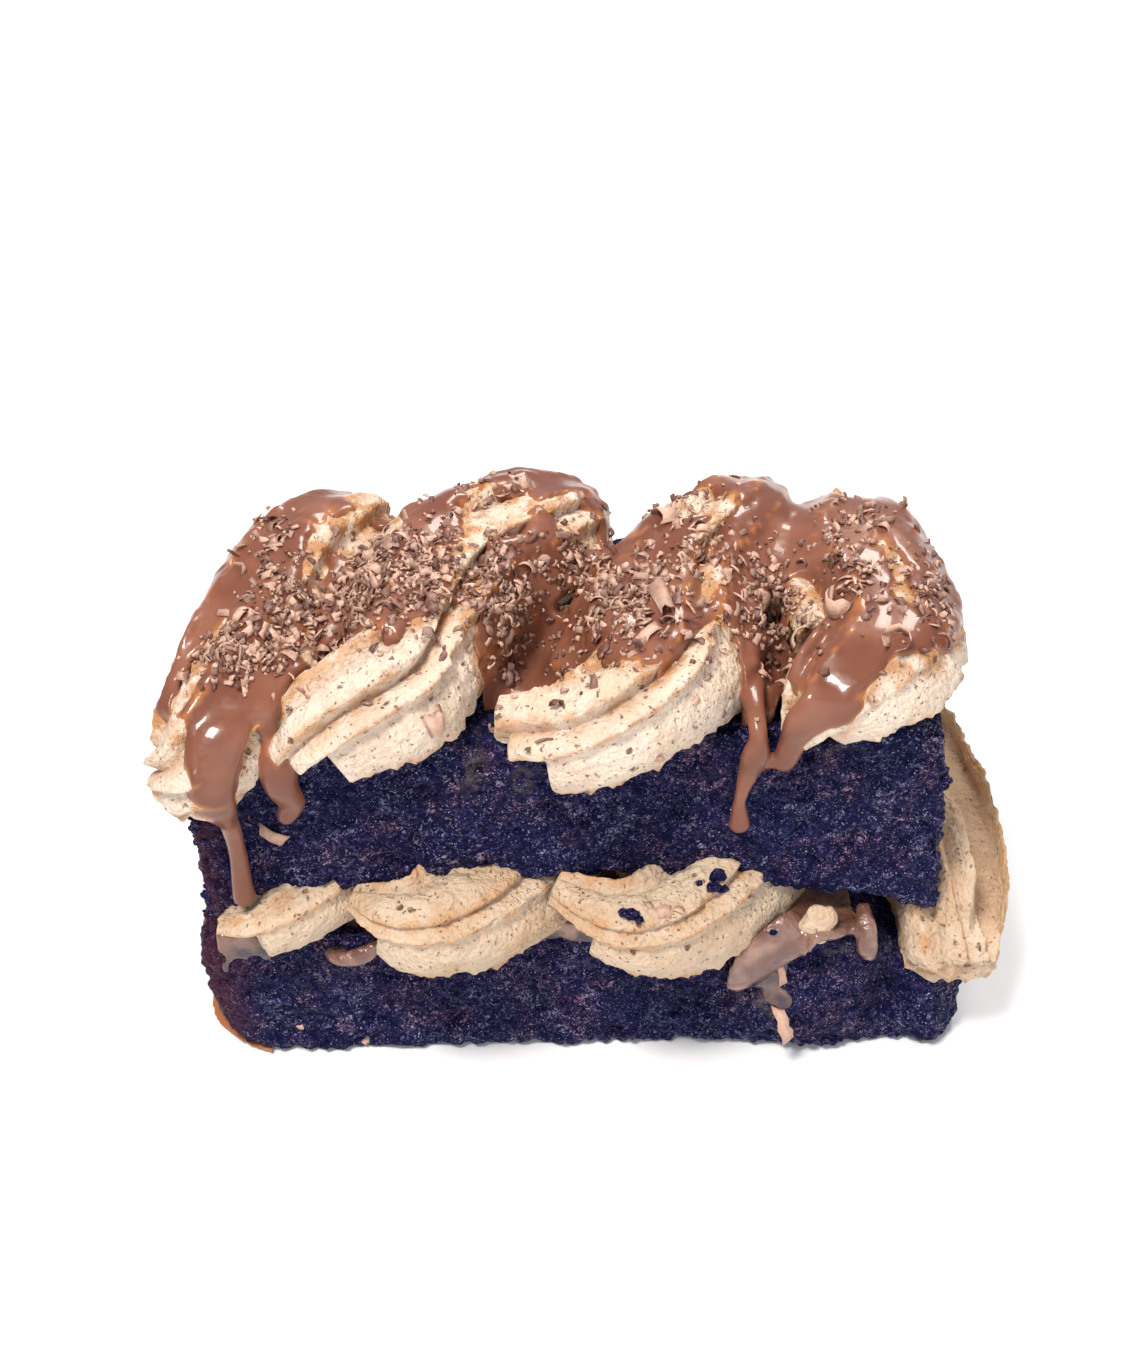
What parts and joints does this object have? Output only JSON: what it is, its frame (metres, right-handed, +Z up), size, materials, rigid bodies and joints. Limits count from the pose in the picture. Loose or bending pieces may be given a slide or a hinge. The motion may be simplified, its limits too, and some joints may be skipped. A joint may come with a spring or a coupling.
{
  "type": "chocolate custard cake slice",
  "caption": "Slice of a dark layered loaf cake with custard, piped cream in the middle and on top, chocolate sauce and shaved chocolate.",
  "frame": {"origin": "on the flat underside of the lower sponge, where the slice rests, near the middle of its length", "axes": "+X along the long cut face, left to right as seen from the front; +Y from the cut face towards the back; +Z up"},
  "size_m": [0.1274, 0.0653, 0.0825],
  "materials": {
    "sponge": "moist, very dark chocolate crumb with a fine sparkle",
    "cream": "matt light brown piped custard cream with small pits",
    "custard": "glossy, slightly translucent brown custard"
  },
  "bodies": {
    "root": {"lower_sponge": "sponge", "custard_layer": "custard", "filling_cream": "cream", "upper_sponge": "sponge", "top_cream": "cream"}
  },
  "joints": []
}
